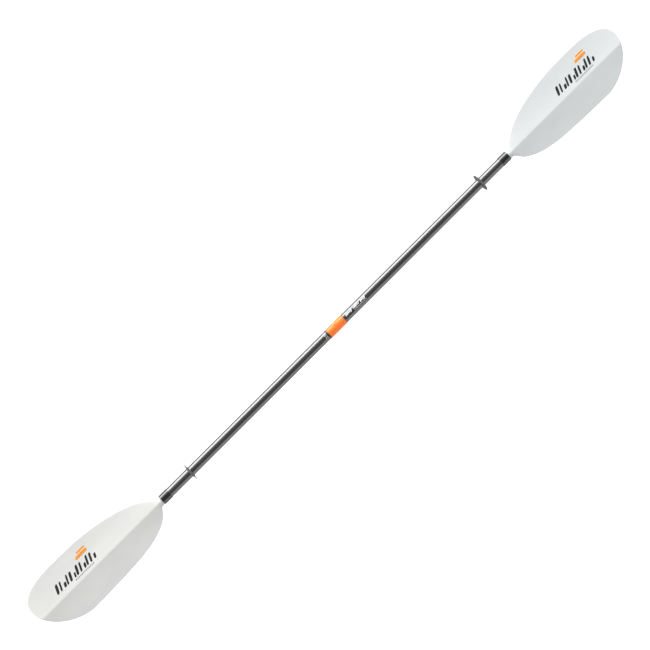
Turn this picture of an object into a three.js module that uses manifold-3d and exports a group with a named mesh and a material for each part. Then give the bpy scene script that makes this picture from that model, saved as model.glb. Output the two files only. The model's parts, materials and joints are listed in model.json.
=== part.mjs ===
// A two-piece touring kayak paddle, lying with the power faces of both blades up.
// Millimetres. +X runs along the shaft to the right-hand blade, +Y runs across the blades to their
// long edge, +Z points up. The origin is on the ground, under the middle of the whole outline.
import * as THREE from "three";
import { mergeVertices } from "three/addons/utils/BufferGeometryUtils.js";
import Module from "manifold-3d";

const wasm = await Module();
wasm.setup();

// ---------------------------------------------------------------- driving dimensions

// Every round part has the same number of sides, so that parts one inside the other stay in step.
const SIDES = 32;
const SEAT_GAP = 0.1; // round a bonded or running part
const END_GAP = 0.3; // between parts that meet end to end
const BEVEL = 0.4;
const CURVE_SEGMENTS = 8; // in each round end of a slot
const PIN_SIDES = 24;

const SHAFT_RADIUS = 14.3; // a 28.6 mm touring shaft
const SHAFT_WALL = 1.5;
const SHAFT_BORE = SHAFT_RADIUS - SHAFT_WALL;
const SHAFT_END_X = 686.5; // from mid-length to where a blade begins
const CRADLE_X = 300; // middle of the stretch that a deck clip or a rack holds
const CRADLE_LENGTH = 60;

const BLADE_LENGTH = 463.5;
const BLADE_LONG_SIDE = 91; // from the ridge to the long edge, at the widest
const BLADE_SHORT_SIDE = 79.5;
const BLADE_TIP_Y = 30; // how far the tip lies to the long side of the ridge
const BLADE_WIDEST_U = 330; // from the shaft's end to where the tip curve begins
const LONG_TIP_POWER = 2.5; // exponents of the two tip curves, 2 is an ellipse
const SHORT_TIP_POWER = 1.8;
const BLADE_SPOON = 28; // how far the tip is curved up
const BLADE_DIHEDRAL = 0.14; // fall of each half away from the ridge, per mm
const LONG_EASE = 0.6; // share of that fall which is gone at the long edge
const SHORT_EASE = 0.3; // the same for the short edge
const PLATE_HALF = 1.6; // half the blade's thickness beside the spine
const EDGE_HALF = 0.9;
const EDGE_TAPER = 4; // exponent, so that the plate thins only near its edges
const NECK_RADIUS = 13.6; // where the blade begins
const TANG_RADIUS = 12.2; // the round stem inside the shaft
const TANG_LENGTH = 60;
const SPINE_END_U = 360; // where the spine on the back runs out
const SPINE_END_HALF_WIDTH = 7;
const RISE_END_U = 170; // where the neck has blended into the power face
const LIFT_SHARE = 0.92; // of the neck's rise, how much lifts the whole plate, not only the ridge
const ROOF_U = 25; // where the round neck has become a sharp ridge
const ROOF_WIDE_U = 45; // where the ridge has its full width
const ROOF_HALF_WIDTH = 32; // that full width, to either side
const ROOF_POWER = 1.1; // exponent of the ridge's section, 1 is a plain roof and 2 is round
const RIDGE_MARGIN = 0.15; // share of the width that the ridge keeps from either edge

const SLEEVE_LENGTH = 29.3;
const SLEEVE_WALL = 0.8;
const FOAM_LENGTH = 40;
const FOAM_RADIUS = 12.6;
const FOAM_GAP = 2; // from the blade's stem
const WATER_PLUG_LENGTH = 15;
const WATER_PLUG_GAP = 8; // from the ferrule insert

const DRIP_RING_X = 576; // from mid-length
const DRIP_RING_RADIUS = 27.5;
const DRIP_RING_WALL = 1.4; // of its hub
const DRIP_RING_HALF = 3.4; // half the length of its hub
// The flange from the hub out, as radius and half its thickness there.
const DRIP_FLANGE = [[18, 2], [22, 1.3], [26, 0.9], [DRIP_RING_RADIUS, 0.7]];

const COLLAR_START_X = -32.5;
const COLLAR_END_X = 27;
const COLLAR_RADIUS = 15;
const COLLAR_ROUND = 0.8;
const END_RING_LENGTH = 1;
const END_RING_RADIUS = 14.6;
const RIGHT_SHAFT_START_X = COLLAR_END_X + END_RING_LENGTH + 2 * END_GAP;

const SOCKET_BORE = 10.5; // in which the ferrule insert turns and slides
const SOCKET_OUTER = SHAFT_BORE - SEAT_GAP;
const SOCKET_END_X = 70;
const BUSH_LENGTH = 70;
const STOPPER_DEPTH = 8; // how far a stopper's stem goes into its tube
const STOPPER_HEAD = 2;

const INSERT_RADIUS = SOCKET_BORE - SEAT_GAP;
const INSERT_BORE = 8.4;
const INSERT_START_X = -115;
const INSERT_END_X = 50;
const FLANGE_LENGTH = 5;
const FLANGE_START_X = COLLAR_START_X - END_GAP - FLANGE_LENGTH;
const LEFT_SHAFT_START_X = FLANGE_START_X - END_GAP; // the left shaft's inner end
const GROOVE_DEPTH = 0.8;
const SEAL_XS = [31, 41]; // centres of the two seal grooves
const SEAL_WIDTH = 2;
const SEAL_CLEARANCE = 0.075;
const RETAINER_GROOVE_WIDTH = 1.8;
const RETAINER_THICKNESS = 1.2;
const RETAINER_MOUTH = 4;
const WASHER_THICKNESS = 0.6;
const WASHER_GAP = 0.2;
const BUSH_START_X = LEFT_SHAFT_START_X - BUSH_LENGTH;
const WASHER_X = BUSH_START_X - WASHER_GAP - WASHER_THICKNESS / 2;
const RETAINER_X = WASHER_X - WASHER_THICKNESS / 2 - WASHER_GAP - RETAINER_THICKNESS / 2;

const BUTTON_X = (COLLAR_START_X + COLLAR_END_X) / 2;
const BUTTON_TURN = -Math.PI / 4; // the button faces up and to the long edges
const BUTTON_LENGTH = 13.4;
const BUTTON_WIDTH = 8.4;
const BUTTON_RADIUS = 15.7; // its top, from the shaft's axis
const LIP_OVERHANG = 1.3; // how far the button's lip stands out all round
const LIP_RADII = [13.5, 13.9];
const POCKET_RADII = [11.7, 14.2]; // floor and ceiling of the pocket that holds the lip
const BOSS_RADIUS = 2.4; // under the button, on the lock pin
const BOSS_BOTTOM = 12.15;
const PIN_RADIUS = 2.5;
const PIN_TOP = BOSS_BOTTOM - END_GAP;
const PIN_HOLE_RADIUS = PIN_RADIUS + END_GAP;
const CUT_REACH = 20; // a cutter's length past what it cuts

const SPRING_WIDTH = 5;
const SPRING_THICKNESS = 0.7;
const SPRING_BEND_X = -45;
const SPRING_BEND_REACH = 1.5; // how far the fold stands out past the bend
const SPRING_TOE_X = 6;
const SPRING_TOE_LENGTH = 8; // the lower arm turns up over this length
const SPRING_HIGH = 7.2; // the spring's upper arm, under the pin
const SPRING_LOW = -7.5; // where its lower arm presses on the bore

const FILM_GAP = 0.1;
const FILM_THICKNESS = 0.15;
const FILM_SEGMENTS = 32;
const SHAFT_LABEL = { start: 35, end: 116, from: -0.3, to: 0.9 }; // mm along, radians round
const FEATHER_SCALE = { start: -52, end: LEFT_SHAFT_START_X - END_GAP, from: -1.7, to: 2.2 };

const BLADE_HALF_STEPS = 8; // across each half of a blade
const NECK_STEPS = 10;
const BODY_STEPS = 7;
const TIP_STEPS = 11;
const EDGE_STEPS = 3; // in each rounded edge
const NECK_END_U = 125;
const NECK_BUNCHING = 1.5; // exponent that draws the sections together at the shaft
const TIP_TRIM = 0.5; // the blade's mesh ends this short of the mathematical tip

// The whole outline's middle is the origin, so the shaft's axis lies beside it and above the ground.
const AXIS_Y = (BLADE_SHORT_SIDE - BLADE_LONG_SIDE) / 2;
const AXIS_Z = DRIP_RING_RADIUS * Math.cos(Math.PI / SIDES);

// ---------------------------------------------------------------- materials

const material = (color, roughness, metalness = 0) =>
  new THREE.MeshStandardMaterial({ color, roughness, metalness });

const materials = {
  carbon: material(0x1c1c1f, 0.28),
  blade: material(0xe3e6e8, 0.42),
  sleeve: material(0x0b0b0d, 0.3),
  foam: material(0xd8d4c8, 0.95),
  rubber: material(0x161617, 0.75),
  collar: material(0xf4701f, 0.38),
  socket: material(0x232427, 0.55),
  steel: material(0xa9adb2, 0.3, 1),
  film: material(0xe9eaec, 0.5),
};

// ---------------------------------------------------------------- shape helpers

// A body turned about the X axis from [radius, x] points that run counter-clockwise.
function turned(profile) {
  const points = profile.map(([radius, x]) => new THREE.Vector2(radius, x));
  const geometry = new THREE.LatheGeometry(points, SIDES, Math.PI / SIDES);
  return geometry.rotateZ(-Math.PI / 2);
}

function tube(start, end, inner, outer) {
  return turned([[inner, start], [outer, start], [outer, end], [inner, end], [inner, start]]);
}

function plug(start, end, radius) {
  return turned([[0, start], [radius, start], [radius, end], [0, end]]);
}

// Points on a round edge of the given radius, from angle `from` to angle `to`, in degrees.
function roundEdge(radius, x, size, from, to) {
  return Array.from({ length: EDGE_STEPS + 1 }, (_, i) => {
    const angle = THREE.MathUtils.degToRad(from + ((to - from) * i) / EDGE_STEPS);
    return [radius + size * Math.cos(angle), x + size * Math.sin(angle)];
  });
}

// A slot outline with round ends, long in X.
function stadium(length, width) {
  const radius = width / 2;
  const reach = length / 2 - radius;
  const shape = new THREE.Shape();
  shape.absarc(reach, 0, radius, -Math.PI / 2, Math.PI / 2, false);
  shape.absarc(-reach, 0, radius, Math.PI / 2, (3 * Math.PI) / 2, false);
  return shape;
}

// A slot-shaped prism that stands on the shaft's axis, under the button.
function slotPrism(length, width) {
  const prism = new THREE.ExtrudeGeometry(stadium(length, width), {
    depth: CUT_REACH,
    bevelEnabled: false,
    curveSegments: CURVE_SEGMENTS,
  });
  return prism.translate(BUTTON_X, 0, 0);
}

// A round pin along the button's line, from one distance to another above the shaft's axis.
function pinAt(radius, bottom, top) {
  const pin = new THREE.CylinderGeometry(radius, radius, top - bottom, PIN_SIDES);
  return pin.rotateX(Math.PI / 2).translate(BUTTON_X, 0, (bottom + top) / 2);
}

// A thin film bent round the shaft; angles are measured from the top towards the long edges.
function film({ start, end, from, to }) {
  const inner = SHAFT_RADIUS + FILM_GAP;
  const shape = new THREE.Shape();
  shape.absarc(0, 0, inner + FILM_THICKNESS, from, to, false);
  shape.absarc(0, 0, inner, to, from, true);
  const geometry = new THREE.ExtrudeGeometry(shape, {
    depth: end - start,
    bevelEnabled: false,
    curveSegments: FILM_SEGMENTS,
  });
  return geometry.rotateY(-Math.PI / 2).translate(end, 0, 0);
}

function solid(geometry) {
  const bare = geometry.clone();
  bare.deleteAttribute("normal");
  bare.deleteAttribute("uv");
  const merged = mergeVertices(bare);
  return new wasm.Manifold(
    new wasm.Mesh({
      numProp: 3,
      vertProperties: merged.attributes.position.array,
      triVerts: new Uint32Array(merged.index.array),
    }),
  );
}

function geometryOf(manifold) {
  const { vertProperties, triVerts } = manifold.getMesh();
  const geometry = new THREE.BufferGeometry();
  geometry.setAttribute("position", new THREE.BufferAttribute(vertProperties, 3));
  geometry.setIndex(new THREE.BufferAttribute(triVerts, 1));
  return geometry;
}

function piece(name, geometry, finish) {
  const mesh = new THREE.Mesh(geometry, materials[finish]);
  mesh.name = name;
  return mesh;
}

function groupOf(...children) {
  return new THREE.Group().add(...children);
}

// ---------------------------------------------------------------- blade

// A smooth curve through [x, y] points: cubic between them, with the slope of their neighbours.
function smoothThrough(points) {
  const slopes = points.map((_, i) => {
    const [x0, y0] = points[Math.max(i - 1, 0)];
    const [x1, y1] = points[Math.min(i + 1, points.length - 1)];
    return (y1 - y0) / (x1 - x0);
  });
  return (x) => {
    const next = points.findIndex((point) => point[0] >= x);
    const i = Math.max(next, 1) - 1;
    const [x0, y0] = points[i];
    const [x1, y1] = points[i + 1];
    const span = x1 - x0;
    const t = (x - x0) / span;
    const rise = 3 * t * t - 2 * t * t * t;
    const leave = t * (1 - t) * (1 - t) * span * slopes[i];
    const arrive = t * t * (t - 1) * span * slopes[i + 1];
    return y0 + (y1 - y0) * rise + leave + arrive;
  };
}

// u is the distance from the shaft's end, and the value is the edge's distance from the ridge.
const longFlank = smoothThrough([
  [0, 13.6], [10, 14.6], [21, 21.6], [44, 36], [78, 53.4],
  [125, 69], [182, 81], [250, 89.3], [BLADE_WIDEST_U, BLADE_LONG_SIDE],
]);
const shortFlank = smoothThrough([
  [0, 13.6], [12, 14.6], [21, 26], [32, 37.5], [55, 51],
  [90, 63], [140, 71.8], [220, 76.8], [BLADE_WIDEST_U, BLADE_SHORT_SIDE],
]);

function superellipse(share, power) {
  return (1 - Math.abs(share) ** power) ** (1 / power);
}

function edgeY(u, flank, widest, power) {
  if (u <= BLADE_WIDEST_U) {
    return Math.sign(widest) * flank(u);
  }
  const share = (u - BLADE_WIDEST_U) / (BLADE_LENGTH - BLADE_WIDEST_U);
  return BLADE_TIP_Y + (widest - BLADE_TIP_Y) * superellipse(share, power);
}

// One closed loop of points round the blade at u: along the power face, and back along the other.
function bladeLoop(u) {
  const high = edgeY(u, longFlank, BLADE_LONG_SIDE, LONG_TIP_POWER);
  const low = edgeY(u, shortFlank, -BLADE_SHORT_SIDE, SHORT_TIP_POWER);
  const margin = RIDGE_MARGIN * (high - low);
  const ridge = THREE.MathUtils.clamp(0, low + margin, high - margin);
  const { lerp, smoothstep } = THREE.MathUtils;
  const plate = smoothstep(u, 0, ROOF_U); // goes from the round neck to the flat plate
  const neckHeight = NECK_RADIUS - EDGE_HALF;
  const rise = neckHeight * (1 - smoothstep(u, 0, RISE_END_U));
  const lift = rise * LIFT_SHARE * plate;
  const axisZ = BLADE_SPOON * (u / BLADE_LENGTH) ** 2 + lift;
  const roof = lerp(2, ROOF_POWER, plate);
  const roofWidth = lerp(NECK_RADIUS, ROOF_HALF_WIDTH, smoothstep(u, 0, ROOF_WIDE_U));
  const spineShare = Math.min(u / SPINE_END_U, 1);
  const spineWidth = lerp(NECK_RADIUS, SPINE_END_HALF_WIDTH, spineShare);
  const spineHeight = neckHeight * (1 - spineShare) ** 2 + lift;

  const powerFace = [];
  const backFace = [];
  for (let step = -BLADE_HALF_STEPS; step <= BLADE_HALF_STEPS; step += 1) {
    const share = step / BLADE_HALF_STEPS;
    const away = share * (share > 0 ? high - ridge : ridge - low);
    const y = ridge + away;
    const ease = (y > 0 ? LONG_EASE : SHORT_EASE) * Math.min(Math.abs(y) / BLADE_LONG_SIDE, 1);
    const middle = axisZ - BLADE_DIHEDRAL * Math.abs(y) * (1 - ease) * plate;
    const half = lerp(PLATE_HALF, EDGE_HALF, Math.max(share ** EDGE_TAPER, 1 - plate));
    const roofHeight = (rise - lift) * superellipse(Math.min(Math.abs(y) / roofWidth, 1), roof);
    const spine = spineHeight * superellipse(Math.min(Math.abs(y) / spineWidth, 1), 2);
    powerFace.push(new THREE.Vector3(u, y, middle + half + roofHeight));
    backFace.unshift(new THREE.Vector3(u, y, middle - half - spine));
  }
  return [...powerFace, ...backFace];
}

// The stem's loop has the neck's shape, a little smaller, so that it fits the shaft's bore.
function tangLoop(u) {
  const scale = TANG_RADIUS / NECK_RADIUS;
  return bladeLoop(0).map(({ y, z }) => new THREE.Vector3(u, y * scale, z * scale));
}

// Joins loops of equal length into one closed body. A loop's first half faces its second half, so
// each end is closed by a strip between the two.
function lofted(loops) {
  const count = loops[0].length;
  const index = [];
  const quad = (a, b, c, d) => index.push(a, b, c, a, c, d);
  for (let i = 0; i < loops.length - 1; i += 1) {
    for (let j = 0; j < count; j += 1) {
      const k = (j + 1) % count;
      quad(i * count + j, (i + 1) * count + j, (i + 1) * count + k, i * count + k);
    }
  }
  const last = (loops.length - 1) * count;
  for (let j = 0; j < count / 2 - 1; j += 1) {
    const back = count - 1 - j;
    quad(j, j + 1, back - 1, back);
    quad(last + j, last + back, last + back - 1, last + j + 1);
  }
  const geometry = new THREE.BufferGeometry().setFromPoints(loops.flat());
  geometry.setIndex(index);
  return geometry;
}

function bladeGeometry() {
  const spread = (count, place) => Array.from({ length: count }, (_, i) => place((i + 1) / count));
  const stations = [
    END_GAP,
    ...spread(NECK_STEPS, (share) => NECK_END_U * share ** NECK_BUNCHING),
    ...spread(BODY_STEPS, (share) => NECK_END_U + (BLADE_WIDEST_U - NECK_END_U) * share),
    ...spread(TIP_STEPS, (share) => {
      const reach = BLADE_LENGTH - TIP_TRIM - BLADE_WIDEST_U;
      return BLADE_WIDEST_U + reach * Math.sin((share * Math.PI) / 2);
    }),
  ];
  const loops = [tangLoop(-TANG_LENGTH), tangLoop(END_GAP), ...stations.map(bladeLoop)];
  return lofted(loops).translate(SHAFT_END_X, 0, 0);
}

// ---------------------------------------------------------------- the blade end of either half

function endSleeve() {
  const inner = SHAFT_RADIUS + SEAT_GAP;
  const outer = inner + SLEEVE_WALL;
  const start = SHAFT_END_X - SLEEVE_LENGTH;
  const bevel = SLEEVE_WALL / 2;
  return turned([
    [inner, start],
    [outer - bevel, start],
    [outer, start + bevel],
    [outer, SHAFT_END_X - bevel],
    [outer - bevel, SHAFT_END_X],
    [inner, SHAFT_END_X],
    [inner, start],
  ]);
}

function foamPlug() {
  const end = SHAFT_END_X - TANG_LENGTH - FOAM_GAP;
  return plug(end - FOAM_LENGTH, end, FOAM_RADIUS);
}

// A rubber ring with a thin rim, which throws off the water that runs down the shaft.
function dripRing() {
  const bore = SHAFT_RADIUS + SEAT_GAP;
  const half = [[bore, DRIP_RING_HALF], [bore + DRIP_RING_WALL, DRIP_RING_HALF], ...DRIP_FLANGE];
  const outward = half.map(([radius, x]) => [radius, DRIP_RING_X - x]);
  const inward = half.map(([radius, x]) => [radius, DRIP_RING_X + x]).reverse();
  return turned([...outward, ...inward, outward[0]]);
}

// `side` is 1 for the right half and -1 for the left half, which is its mirror image.
function bladeEnd(name, side) {
  const group = groupOf(
    piece(`${name}_blade`, bladeGeometry(), "blade"),
    piece(`${name}_end_sleeve`, endSleeve(), "sleeve"),
    piece(`${name}_foam_plug`, foamPlug(), "foam"),
    piece(`${name}_drip_ring`, dripRing(), "rubber"),
  );
  group.scale.x = side;
  return group;
}

// ---------------------------------------------------------------- the ferrule

// The slot between two radii that a lip of the given slot outline takes up.
function curvedSlot(length, width, inner, outer) {
  const ring = solid(tube(BUTTON_X - CUT_REACH, BUTTON_X + CUT_REACH, inner, outer));
  return ring.intersect(solid(slotPrism(length, width)));
}

const lipPocket = curvedSlot(
  BUTTON_LENGTH + 2 * (LIP_OVERHANG + END_GAP),
  BUTTON_WIDTH + 2 * (LIP_OVERHANG + END_GAP),
  ...POCKET_RADII,
);
const pinHole = solid(pinAt(PIN_HOLE_RADIUS, 0, CUT_REACH));

function ferruleCollar() {
  const outer = COLLAR_RADIUS - COLLAR_ROUND;
  const body = turned([
    [SHAFT_BORE, COLLAR_START_X],
    ...roundEdge(outer, COLLAR_START_X + COLLAR_ROUND, COLLAR_ROUND, -90, 0),
    ...roundEdge(outer, COLLAR_END_X - COLLAR_ROUND, COLLAR_ROUND, 0, 90),
    [SHAFT_BORE, COLLAR_END_X],
    [SHAFT_BORE, COLLAR_START_X],
  ]);
  const window = solid(slotPrism(BUTTON_LENGTH + 2 * END_GAP, BUTTON_WIDTH + 2 * END_GAP));
  return geometryOf(solid(body).subtract(window).subtract(lipPocket));
}

function socketLiner() {
  const body = solid(tube(COLLAR_START_X, SOCKET_END_X, SOCKET_BORE, SOCKET_OUTER));
  return geometryOf(body.subtract(lipPocket).subtract(pinHole));
}

function socketPlug() {
  const inner = SOCKET_END_X - STOPPER_DEPTH;
  const cap = SOCKET_END_X + END_GAP;
  const stem = SOCKET_BORE - END_GAP;
  return turned([
    [0, inner],
    [stem, inner],
    [stem, cap],
    [SOCKET_OUTER, cap],
    [SOCKET_OUTER, cap + STOPPER_HEAD],
    [0, cap + STOPPER_HEAD],
  ]);
}

function releaseButton() {
  const cap = curvedSlot(BUTTON_LENGTH, BUTTON_WIDTH, LIP_RADII[0], BUTTON_RADIUS);
  const lip = curvedSlot(
    BUTTON_LENGTH + 2 * LIP_OVERHANG,
    BUTTON_WIDTH + 2 * LIP_OVERHANG,
    ...LIP_RADII,
  );
  const boss = solid(pinAt(BOSS_RADIUS, BOSS_BOTTOM, LIP_RADII[1]));
  return geometryOf(cap.add(lip).add(boss));
}

// The grooves are part of the turned profile, which runs from the left end to the right and back.
function ferruleInsert() {
  const groove = (x, width) => [
    [INSERT_RADIUS, x - width / 2],
    [INSERT_RADIUS - GROOVE_DEPTH, x - width / 2],
    [INSERT_RADIUS - GROOVE_DEPTH, x + width / 2],
    [INSERT_RADIUS, x + width / 2],
  ];
  const flangeEnd = FLANGE_START_X + FLANGE_LENGTH;
  const body = turned([
    [INSERT_BORE, INSERT_START_X],
    [INSERT_RADIUS, INSERT_START_X],
    ...groove(RETAINER_X, RETAINER_GROOVE_WIDTH),
    [INSERT_RADIUS, FLANGE_START_X],
    [SHAFT_RADIUS - BEVEL, FLANGE_START_X],
    [SHAFT_RADIUS, FLANGE_START_X + BEVEL],
    [SHAFT_RADIUS, flangeEnd - BEVEL],
    [SHAFT_RADIUS - BEVEL, flangeEnd],
    [INSERT_RADIUS, flangeEnd],
    ...SEAL_XS.flatMap((x) => groove(x, SEAL_WIDTH + 2 * END_GAP)),
    [INSERT_RADIUS, INSERT_END_X],
    [INSERT_BORE, INSERT_END_X],
    [INSERT_BORE, INSERT_START_X],
  ]);
  return geometryOf(solid(body).subtract(pinHole));
}

function insertEndCap() {
  const stem = INSERT_BORE - SEAT_GAP;
  const head = INSERT_RADIUS - END_GAP;
  const start = INSERT_END_X + END_GAP;
  return turned([
    [0, INSERT_END_X - STOPPER_DEPTH],
    [stem, INSERT_END_X - STOPPER_DEPTH],
    [stem, start],
    [head, start],
    [head, start + STOPPER_HEAD - BEVEL],
    [head - BEVEL, start + STOPPER_HEAD],
    [0, start + STOPPER_HEAD],
  ]);
}

function sealRing(x) {
  const inner = INSERT_RADIUS - GROOVE_DEPTH + SEAT_GAP;
  const half = SEAL_WIDTH / 2;
  return tube(x - half, x + half, inner, SOCKET_BORE - SEAL_CLEARANCE);
}

// An open spring ring in the insert's groove, which keeps the insert in the left shaft.
function retainingRing() {
  const inner = INSERT_RADIUS - GROOVE_DEPTH + SEAT_GAP;
  const half = RETAINER_THICKNESS / 2;
  const ring = solid(tube(RETAINER_X - half, RETAINER_X + half, inner, SHAFT_BORE - 2 * END_GAP));
  const mouth = new THREE.BoxGeometry(RETAINER_THICKNESS * 2, RETAINER_MOUTH, CUT_REACH);
  return geometryOf(ring.subtract(solid(mouth.translate(RETAINER_X, 0, -CUT_REACH / 2))));
}

function springWasher() {
  const half = WASHER_THICKNESS / 2;
  return tube(WASHER_X - half, WASHER_X + half, INSERT_RADIUS + END_GAP, SHAFT_BORE - 2 * END_GAP);
}

// A folded spring strip inside the insert, with the lock pin on its upper arm.
function lockSpring() {
  const t = SPRING_THICKNESS;
  const heel = BUTTON_X + PIN_RADIUS;
  const toeStart = SPRING_TOE_X - SPRING_TOE_LENGTH;
  const outline = new THREE.Shape([
    new THREE.Vector2(heel, SPRING_HIGH),
    new THREE.Vector2(BUTTON_X - PIN_RADIUS, SPRING_HIGH),
    new THREE.Vector2(SPRING_BEND_X, t),
    new THREE.Vector2(SPRING_BEND_X - SPRING_BEND_REACH, 0),
    new THREE.Vector2(SPRING_BEND_X, -t),
    new THREE.Vector2(toeStart, SPRING_LOW),
    new THREE.Vector2(SPRING_TOE_X, SPRING_LOW + t),
    new THREE.Vector2(SPRING_TOE_X, SPRING_LOW + 2 * t),
    new THREE.Vector2(toeStart, SPRING_LOW + t),
    new THREE.Vector2(SPRING_BEND_X + t, 0),
    new THREE.Vector2(BUTTON_X - PIN_RADIUS, SPRING_HIGH - t),
    new THREE.Vector2(heel, SPRING_HIGH - t),
  ]);
  const strip = new THREE.ExtrudeGeometry(outline, { depth: SPRING_WIDTH, bevelEnabled: false });
  strip.rotateX(Math.PI / 2).translate(0, SPRING_WIDTH / 2, 0);
  const pin = pinAt(PIN_RADIUS, SPRING_HIGH - t / 2, PIN_TOP);
  return geometryOf(solid(strip).add(solid(pin)));
}

// The parts round the button, made with the button on top and then turned to face the paddler.
function ferrule() {
  const group = groupOf(
    piece("ferrule_collar", ferruleCollar(), "collar"),
    piece("socket_liner", socketLiner(), "socket"),
    piece("socket_plug", socketPlug(), "socket"),
    piece("release_button", releaseButton(), "collar"),
    piece("ferrule_insert", ferruleInsert(), "socket"),
    piece("insert_end_cap", insertEndCap(), "socket"),
    piece("retaining_ring", retainingRing(), "steel"),
    piece("spring_washer", springWasher(), "steel"),
    piece("lock_spring", lockSpring(), "steel"),
    ...SEAL_XS.map((x, i) => piece(`seal_ring_${i + 1}`, sealRing(x), "rubber")),
  );
  group.rotation.x = BUTTON_TURN;
  return group;
}

function collarEndRing() {
  const start = COLLAR_END_X + END_GAP;
  return tube(start, start + END_RING_LENGTH, SHAFT_BORE + SEAT_GAP, END_RING_RADIUS);
}

// ---------------------------------------------------------------- the shafts

// The stretch that a clip or a rack holds has flat faces of its own.
function shaft(start, end, cradleX) {
  return turned([
    [SHAFT_BORE, start],
    [SHAFT_RADIUS, start],
    [SHAFT_RADIUS, cradleX - CRADLE_LENGTH / 2],
    [SHAFT_RADIUS, cradleX + CRADLE_LENGTH / 2],
    [SHAFT_RADIUS, end],
    [SHAFT_BORE, end],
    [SHAFT_BORE, start],
  ]);
}

function shafts() {
  const plugEnd = INSERT_START_X - WATER_PLUG_GAP;
  return groupOf(
    piece("left_shaft", shaft(-SHAFT_END_X, LEFT_SHAFT_START_X, -CRADLE_X), "carbon"),
    piece("right_shaft", shaft(RIGHT_SHAFT_START_X, SHAFT_END_X, CRADLE_X), "carbon"),
    piece("ferrule_bush", tube(BUSH_START_X, LEFT_SHAFT_START_X, SOCKET_BORE, SOCKET_OUTER), "socket"),
    piece("left_water_plug", plug(plugEnd - WATER_PLUG_LENGTH, plugEnd, FOAM_RADIUS), "foam"),
    piece("collar_end_ring", collarEndRing(), "rubber"),
    piece("shaft_label", film(SHAFT_LABEL), "film"),
    piece("feather_scale", film(FEATHER_SCALE), "film"),
  );
}

// ---------------------------------------------------------------- the paddle

const paddle = groupOf(shafts(), ferrule(), bladeEnd("left", -1), bladeEnd("right", 1));
paddle.position.set(0, AXIS_Y, AXIS_Z);

export default groupOf(paddle);
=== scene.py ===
"""A two-piece touring kayak paddle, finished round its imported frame.

Metres, in the frame's own axes: +X runs along the shaft to the right blade, +Y across the blades to
their long edges, and +Z up out of the power faces.
"""
import json
import math

import bmesh
import bpy
from mathutils import Matrix, Vector


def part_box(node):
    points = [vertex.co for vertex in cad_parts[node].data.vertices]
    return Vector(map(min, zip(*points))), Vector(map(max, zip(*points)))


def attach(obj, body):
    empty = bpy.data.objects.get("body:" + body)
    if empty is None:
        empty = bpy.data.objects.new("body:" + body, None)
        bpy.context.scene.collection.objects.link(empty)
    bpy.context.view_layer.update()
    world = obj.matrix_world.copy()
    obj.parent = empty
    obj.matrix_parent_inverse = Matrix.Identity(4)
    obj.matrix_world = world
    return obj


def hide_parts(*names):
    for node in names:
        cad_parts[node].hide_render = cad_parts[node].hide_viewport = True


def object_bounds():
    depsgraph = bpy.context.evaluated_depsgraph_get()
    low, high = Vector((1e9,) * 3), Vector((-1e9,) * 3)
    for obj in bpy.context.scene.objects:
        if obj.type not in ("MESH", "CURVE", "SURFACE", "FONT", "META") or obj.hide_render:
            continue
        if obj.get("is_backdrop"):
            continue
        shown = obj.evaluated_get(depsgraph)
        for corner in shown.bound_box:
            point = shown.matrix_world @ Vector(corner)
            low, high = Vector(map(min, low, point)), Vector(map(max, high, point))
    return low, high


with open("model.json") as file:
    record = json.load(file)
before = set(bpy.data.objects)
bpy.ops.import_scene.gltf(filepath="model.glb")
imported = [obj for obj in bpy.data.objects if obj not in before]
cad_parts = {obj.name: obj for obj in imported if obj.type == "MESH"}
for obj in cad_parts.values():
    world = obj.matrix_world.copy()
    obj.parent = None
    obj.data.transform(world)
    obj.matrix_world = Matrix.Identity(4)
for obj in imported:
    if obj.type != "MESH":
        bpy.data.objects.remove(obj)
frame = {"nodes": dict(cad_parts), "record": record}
CAD_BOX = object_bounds()

# ---------------------------------------------------------------- sizes

MM = 0.001
CAD_SIDES = 32  # of the frame's round parts
FLAT = math.cos(math.pi / CAD_SIDES)  # from a corner of those to the middle of a side
SIDES = 128  # of the round parts made here

SHAFT_LOW, SHAFT_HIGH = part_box("left_shaft")
AXIS_Y = (SHAFT_LOW.y + SHAFT_HIGH.y) / 2
AXIS_Z = (SHAFT_LOW.z + SHAFT_HIGH.z) / 2
SHAFT_END_X = -SHAFT_LOW.x


def radius_of(node):
    low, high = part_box(node)
    return (high.z - low.z) / 2 / FLAT


SHAFT_RADIUS = radius_of("left_shaft")
SHAFT_WALL = 1.5 * MM
SHAFT_BORE = SHAFT_RADIUS - SHAFT_WALL
SHAFT_EDGE = 0.3 * MM  # radius of the shaft's and the end ring's corners
SLEEVE_EDGE = 0.25 * MM
SEAT_GAP = 0.1 * MM  # round a bonded or running part
TOWS_ROUND = 48  # a whole number of twill repeats
TWILL_REPEAT = 4
WEFT_DARK = 0.55  # of the warp's dark and light tones
WEFT_LIGHT = 0.62
CARBON_TOW = 2 * math.pi * SHAFT_RADIUS / TOWS_ROUND

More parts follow.
